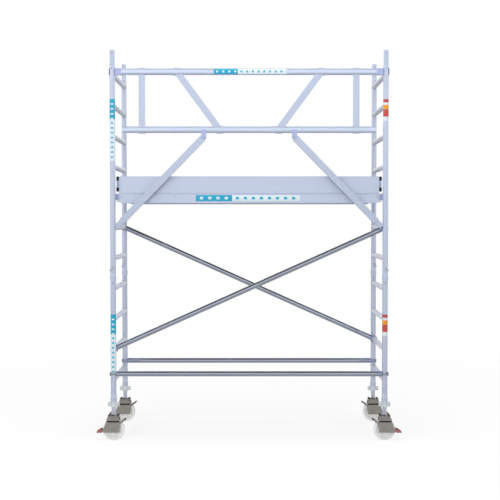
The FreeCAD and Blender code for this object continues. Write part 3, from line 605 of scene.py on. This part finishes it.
def fork_trim(leg):
    """Rivets on the fork's skirt, and a dark strip under the skirt that is painted shade where its shadow falls on
    the fork plates.
    """
    centre = AXIS[leg].copy()
    low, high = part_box(f"fork_{leg}")
    body = f"swivel_{leg}"
    half_deep = (high.y - low.y) / 2

    def rivets(work):
        rivet_down = 0.013
        for side in (-1, 1):
            for x in (-0.042, 0.042):
                spot = Vector((centre.x + x, centre.y + half_deep * side, high.z - rivet_down))
                rivet(work, 0.0042, 0.0014, 0.0021, side, spot, 20)

    piece(f"skirt_rivets_{leg}", mesh_from(rivets), "zinc", body)

    # Painted shade: a dark strip where the skirt's shadow falls on the fork plates.
    def skirt_shade_strip(work):
        half_wide, tall, inset = 0.0535, 0.014, 0.0006
        skirt_low = high.z - 0.027
        plate_out = 0.0335
        for side in (-1, 1):
            near, far = sorted((centre.y + plate_out * side, centre.y + (half_deep - inset) * side))
            eased_box(work, (centre.x - half_wide, near, skirt_low - tall),
                      (centre.x + half_wide, far, skirt_low), 0.001)

    piece(f"painted_skirt_shade_{leg}", mesh_from(skirt_shade_strip), "dark", body)


def pedal_trim(leg):
    """A dark stop bar on the pedal and a black grip across the release lever."""
    centre = AXIS[leg].copy()
    out = -1 if centre.x < 0 else 1
    body = f"brake_{leg}"
    wide = 0.0286

    def bar(work, x, z, radius):
        spin(work, drum(radius, -wide, wide, 0.0012), Vector((centre.x + x * out, centre.y, z)), "Y", 24)

    piece(f"pedal_stop_{leg}", mesh_from(lambda work: bar(work, 0.111, 0.104, 0.0058)), "dark", body)
    piece(f"lever_grip_{leg}", mesh_from(lambda work: bar(work, -0.109, 0.196, 0.0064)), "black", body)


for leg in LEGS:
    jack(leg)
    wing_nut(leg)
    wheel(leg)
    fork_trim(leg)
    pedal_trim(leg)


# Small fasteners and trim: spigot rivets, beam rivets, extrusion beads and corner brackets.
POST_TOPS = [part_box(f"{level}_posts_left")[1].z for level in ("lower", "upper")]


def spigot_rivets(work):
    """A rivet head, almost flush, on the front of each post a little below its top."""
    rivet_down, sunk = 0.025, 0.0002
    for top in POST_TOPS:
        for x in (-HALF_BAY, HALF_BAY):
            for y in (-HALF_DEPTH, HALF_DEPTH):
                spin(work, drum(0.0046, 0, 0.0022, 0.0008),
                     Vector((x, y - POST_RADIUS + sunk, top - rivet_down)), "Y", 20)


piece("spigot_rivets", mesh_from(spigot_rivets), "dark", "tower")

beam_low, beam_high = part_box("platform_side_beams")
board_low, board_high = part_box("long_toe_boards")
CROSS_BEAMS_X = (-1.178, -0.68, -0.23, 0.37, 1.03, 1.178)


def beam_rivets(work):
    """Rivets where each cross beam meets the side beams."""
    for x in CROSS_BEAMS_X:
        for side, y in ((-1, beam_low.y), (1, beam_high.y)):
            for z in (beam_high.z - 0.022, beam_high.z - 0.036):
                rivet(work, 0.0038, 0.0011, 0.0017, side, Vector((x, y, z)), 18)


piece("beam_rivets", mesh_from(beam_rivets), "zinc", "tower")


def board_beads(work):
    """Raised extrusion beads along the toe boards and the beams."""
    proud, ease = 0.0012, 0.0005
    board_inset, beam_inset = 0.01, 0.06
    for side, y in ((-1, board_low.y), (1, board_high.y)):
        near, far = sorted((y, y + proud * side))
        for z, tall in ((board_high.z - 0.008, 0.006), (board_low.z + 0.002, 0.004)):
            eased_box(work, (board_low.x + board_inset, near, z), (board_high.x - board_inset, far, z + tall),
                      ease)
        for z in (beam_low.z + 0.003, beam_high.z - 0.007):
            eased_box(work, (beam_low.x + beam_inset, near, z), (beam_high.x - beam_inset, far, z + 0.0035),
                      ease)


piece("board_beads", mesh_from(board_beads), "board", "tower")


def corner_brackets(work):
    """Cast brackets that join the toe boards at the corners, between the black clips."""
    gap = 0.001
    wide, deep = 0.021, 0.031
    bottom, top = beam_high.z + 0.058, beam_high.z + 0.116
    for side in (-1, 1):
        for depth in (-1, 1):
            edge = (beam_high.x + gap) * side
            face = (beam_high.y - gap) * depth
            left, right = sorted((edge, edge + wide * side))
            near, far = sorted((face, face - deep * depth))
            eased_box(work, (left, near, bottom), (right, far, top), 0.003)


piece("corner_brackets", mesh_from(corner_brackets), "casting", "tower")


# Generic labels: a teal block with pale dots, then a pale strip with teal ticks, with no lettering.
DOTS = 4
TICKS = 8


def marks(first, pitch, size, count):
    """The low and the high end of each of a row of evenly spaced marks."""
    return [(first + pitch * step, first + pitch * step + size) for step in range(count)]


def label(name, block, strip, dots, ticks, film):
    """Lays one label; film(piece name, low, high, finish, kind) makes each of its films."""
    film(f"{name}_block", *block, "teal", "base")
    film(f"{name}_strip", *strip, "pale", "base")
    for step, (low, high) in enumerate(dots):
        film(f"{name}_dot_{step}", low, high, "pale", "dot")
    for step, (low, high) in enumerate(ticks):
        film(f"{name}_tick_{step}", low, high, "teal", "tick")


# Each kind of film on a post: how far it stands off, and its half angle round the post in degrees.
POST_FILM = {"base": (0.0004, 75), "dot": (0.0009, 28), "tick": (0.0009, 24)}


def post_film(x):
    """Films wrapped round the front of the near post at x, from a low height to a high one."""
    def film(name, low, high, finish, kind):
        lift, half_angle = POST_FILM[kind]
        steps = 16
        radius = POST_RADIUS + lift

        def build(work):
            rings = []
            for z in (low, high):
                rings.append([work.verts.new((x + radius * math.sin(math.radians(a)),
                                              -HALF_DEPTH - radius * math.cos(math.radians(a)), z))
                              for a in [half_angle * (2 * step / steps - 1) for step in range(steps + 1)]])
            skin(work, rings, closed=False)

        return piece(name, mesh_from(build), finish, "tower")
    return film


# Each kind of film on the rail: how far it stands off, and half its height.
RAIL_FILM = {"base": (0.0005, 0.024), "dot": (0.001, 0.009), "tick": (0.001, 0.009)}


def rail_film(name, low, high, finish, kind):
    """A film that follows the front of the flat-oval top rail, from one x to another."""
    lift, half_tall = RAIL_FILM[kind]
    steps = 14
    rail_low, rail_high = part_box("guardrail_top_rail")
    radius = (rail_high.y - rail_low.y) / 2
    straight = (rail_high.z - rail_low.z) / 2 - radius
    middle = (rail_high.z + rail_low.z) / 2

    def build(work):
        rings = []
        for x in (low, high):
            ring = []
            for step in range(steps + 1):
                z = half_tall * (2 * step / steps - 1)
                over = max(abs(z) - straight, 0)
                y = -HALF_DEPTH - math.sqrt(radius ** 2 - over ** 2) - lift
                ring.append(work.verts.new((x, y, middle + z)))
            rings.append(ring)
        skin(work, rings, closed=False)

    return piece(name, mesh_from(build), finish, "tower")


# Each kind of film on the beam: how far it stands off, its bottom and its top.
BEAM_FILM = {"base": (0.0018, 2.206, 2.262), "dot": (0.0026, 2.222, 2.246), "tick": (0.0026, 2.222, 2.246)}
FILM_THICK = 0.0006


def beam_film(name, low, high, finish, kind):
    """A thin film on the front face of the near side beam, from one x to another."""
    proud, bottom, top = BEAM_FILM[kind]
    y = beam_low.y - proud
    mesh = mesh_from(lambda work: eased_box(work, (low, y, bottom), (high, y + FILM_THICK, top), 0.0002))
    return piece(name, mesh, finish, "tower")


# The bands on the right posts, from the top down: finish and height.
BANDS = (("crimson", 0.030), ("pale", 0.022), ("orange", 0.042), ("crimson", 0.066), ("pale", 0.040))
for name, top in (("upper", 3.135), ("lower", 1.165)):
    label(f"{name}_left", (top - 0.184, top), (top - 0.561, top - 0.186),
          marks(top - 0.052, -0.045, 0.014, DOTS), marks(top - 0.226, -0.044, 0.014, TICKS),
          post_film(-HALF_BAY))
    band = post_film(HALF_BAY)
    z = top
    for step, (finish, tall) in enumerate(BANDS):
        band(f"{name}_right_band_{step}", z - tall, z - 0.001, finish, "base")
        z -= tall
label("rail", (-0.322, -0.104), (-0.102, 0.338), marks(-0.300, 0.055, 0.018, DOTS),
      marks(-0.078, 0.052, 0.016, TICKS), rail_film)
label("beam", (-0.490, -0.158), (-0.156, 0.470), marks(-0.452, 0.076, 0.028, DOTS),
      marks(-0.122, 0.074, 0.028, TICKS), beam_film)


# Floor, light and camera.
MIRRORED_FLOOR = 0.34
FADE_FROM = 2.0
FADE_TO = 6.0
# The sky's brightness by height, from straight down at 0 to straight up at 1.
SKY_BANDS = ((0.0, 0.62), (0.42, 0.66), (0.50, 1.15), (0.64, 1.1), (0.78, 0.4), (0.92, 0.1), (1.0, 0.3))
CAMERA_BACK = 9.09
CAMERA_HIGH = 2.065
CAMERA_TILT = 1.94
CAMERA_LENS = 71.3
CAMERA_SHIFT = 0.0018


def pale_floor():
    """A floor that takes soft shadows near the tower and fades to plain white away from it."""
    mesh = mesh_from(lambda work: bmesh.ops.create_grid(work, x_segments=1, y_segments=1, size=60))
    floor = bpy.data.objects.new("floor", mesh)
    bpy.context.scene.collection.objects.link(floor)
    mat = bpy.data.materials.new("pale_floor")
    mat.use_nodes = True
    tree = mat.node_tree
    shader = shader_of(mat)
    shader.inputs["Base Color"].default_value = (0.94, 0.94, 0.945, 1)
    shader.inputs["Roughness"].default_value = 0.9
    shader.inputs["Specular IOR Level"].default_value = 0.0
    lit = tree.nodes.new("ShaderNodeEmission")
    rays = tree.nodes.new("ShaderNodeLightPath")
    level = spread(tree, rays.outputs["Is Glossy Ray"], 1.0, MIRRORED_FLOOR, 0, 1)
    tree.links.new(level, lit.inputs["Strength"])
    place = tree.nodes.new("ShaderNodeNewGeometry")
    away = tree.nodes.new("ShaderNodeVectorMath")
    away.operation = "LENGTH"
    tree.links.new(place.outputs["Position"], away.inputs[0])
    blend = tree.nodes.new("ShaderNodeMixShader")
    tree.links.new(spread(tree, away.outputs["Value"], 0.8, 1.0, FADE_FROM, FADE_TO), blend.inputs["Fac"])
    tree.links.new(shader.outputs["BSDF"], blend.inputs[1])
    tree.links.new(lit.outputs["Emission"], blend.inputs[2])
    tree.links.new(blend.outputs["Shader"], tree.nodes["Material Output"].inputs["Surface"])
    mesh.materials.append(mat)
    floor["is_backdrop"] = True


def studio_sky():
    """White where the camera sees it; banded by height where the metal mirrors it."""
    world = bpy.data.worlds.new("studio")
    bpy.context.scene.world = world
    world.use_nodes = True
    tree = world.node_tree
    sky = tree.nodes["Background"]
    place = tree.nodes.new("ShaderNodeTexCoord")
    split = tree.nodes.new("ShaderNodeSeparateXYZ")
    bands = tree.nodes.new("ShaderNodeValToRGB")
    points = bands.color_ramp.elements
    while len(points) < len(SKY_BANDS):
        points.new(0.5)
    for point, (position, level) in zip(points, SKY_BANDS):
        point.position = position
        point.color = (level * 0.985, level * 0.99, level, 1)
    tree.links.new(place.outputs["Generated"], split.inputs["Vector"])
    tree.links.new(spread(tree, split.outputs["Z"], 0, 1, -1, 1), bands.inputs["Fac"])
    tree.links.new(bands.outputs["Color"], sky.inputs["Color"])
    sky.inputs["Strength"].default_value = 1.0
    plain = tree.nodes.new("ShaderNodeBackground")
    plain.inputs["Color"].default_value = (1, 1, 1, 1)
    plain.inputs["Strength"].default_value = 1.0
    rays = tree.nodes.new("ShaderNodeLightPath")
    mix = tree.nodes.new("ShaderNodeMixShader")
    tree.links.new(rays.outputs["Is Camera Ray"], mix.inputs["Fac"])
    tree.links.new(sky.outputs["Background"], mix.inputs[1])
    tree.links.new(plain.outputs["Background"], mix.inputs[2])
    tree.links.new(mix.outputs["Shader"], tree.nodes["World Output"].inputs["Surface"])


def lamp(name, stands, aims, size, watts):
    """A square soft light that leaves no highlight of its own."""
    light = bpy.data.lights.new(name, "AREA")
    light.size = size
    light.energy = watts
    obj = bpy.data.objects.new(name, light)
    obj.location = stands
    obj.rotation_euler = (Vector(aims) - Vector(stands)).to_track_quat("-Z", "Y").to_euler()
    obj.visible_glossy = False
    bpy.context.scene.collection.objects.link(obj)


def front_camera():
    """The camera stands in front of the bay, above head height, and looks slightly down."""
    data = bpy.data.cameras.new("camera")
    data.lens = CAMERA_LENS
    data.shift_x = CAMERA_SHIFT
    camera = bpy.data.objects.new("camera", data)
    camera.location = (0, -HALF_DEPTH - CAMERA_BACK, CAMERA_HIGH)
    camera.rotation_euler = (math.radians(90 - CAMERA_TILT), 0, 0)
    bpy.context.scene.collection.objects.link(camera)
    bpy.context.scene.camera = camera


pale_floor()
studio_sky()
lamp("overhead", (0, -1.5, 8.5), (0, 0, 0), 7.0, 620)
lamp("front", (-5, -9, 4.5), (0, 0, 1.6), 5.0, 260)
front_camera()
bpy.context.scene.view_settings.view_transform = "Standard"

low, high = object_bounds()
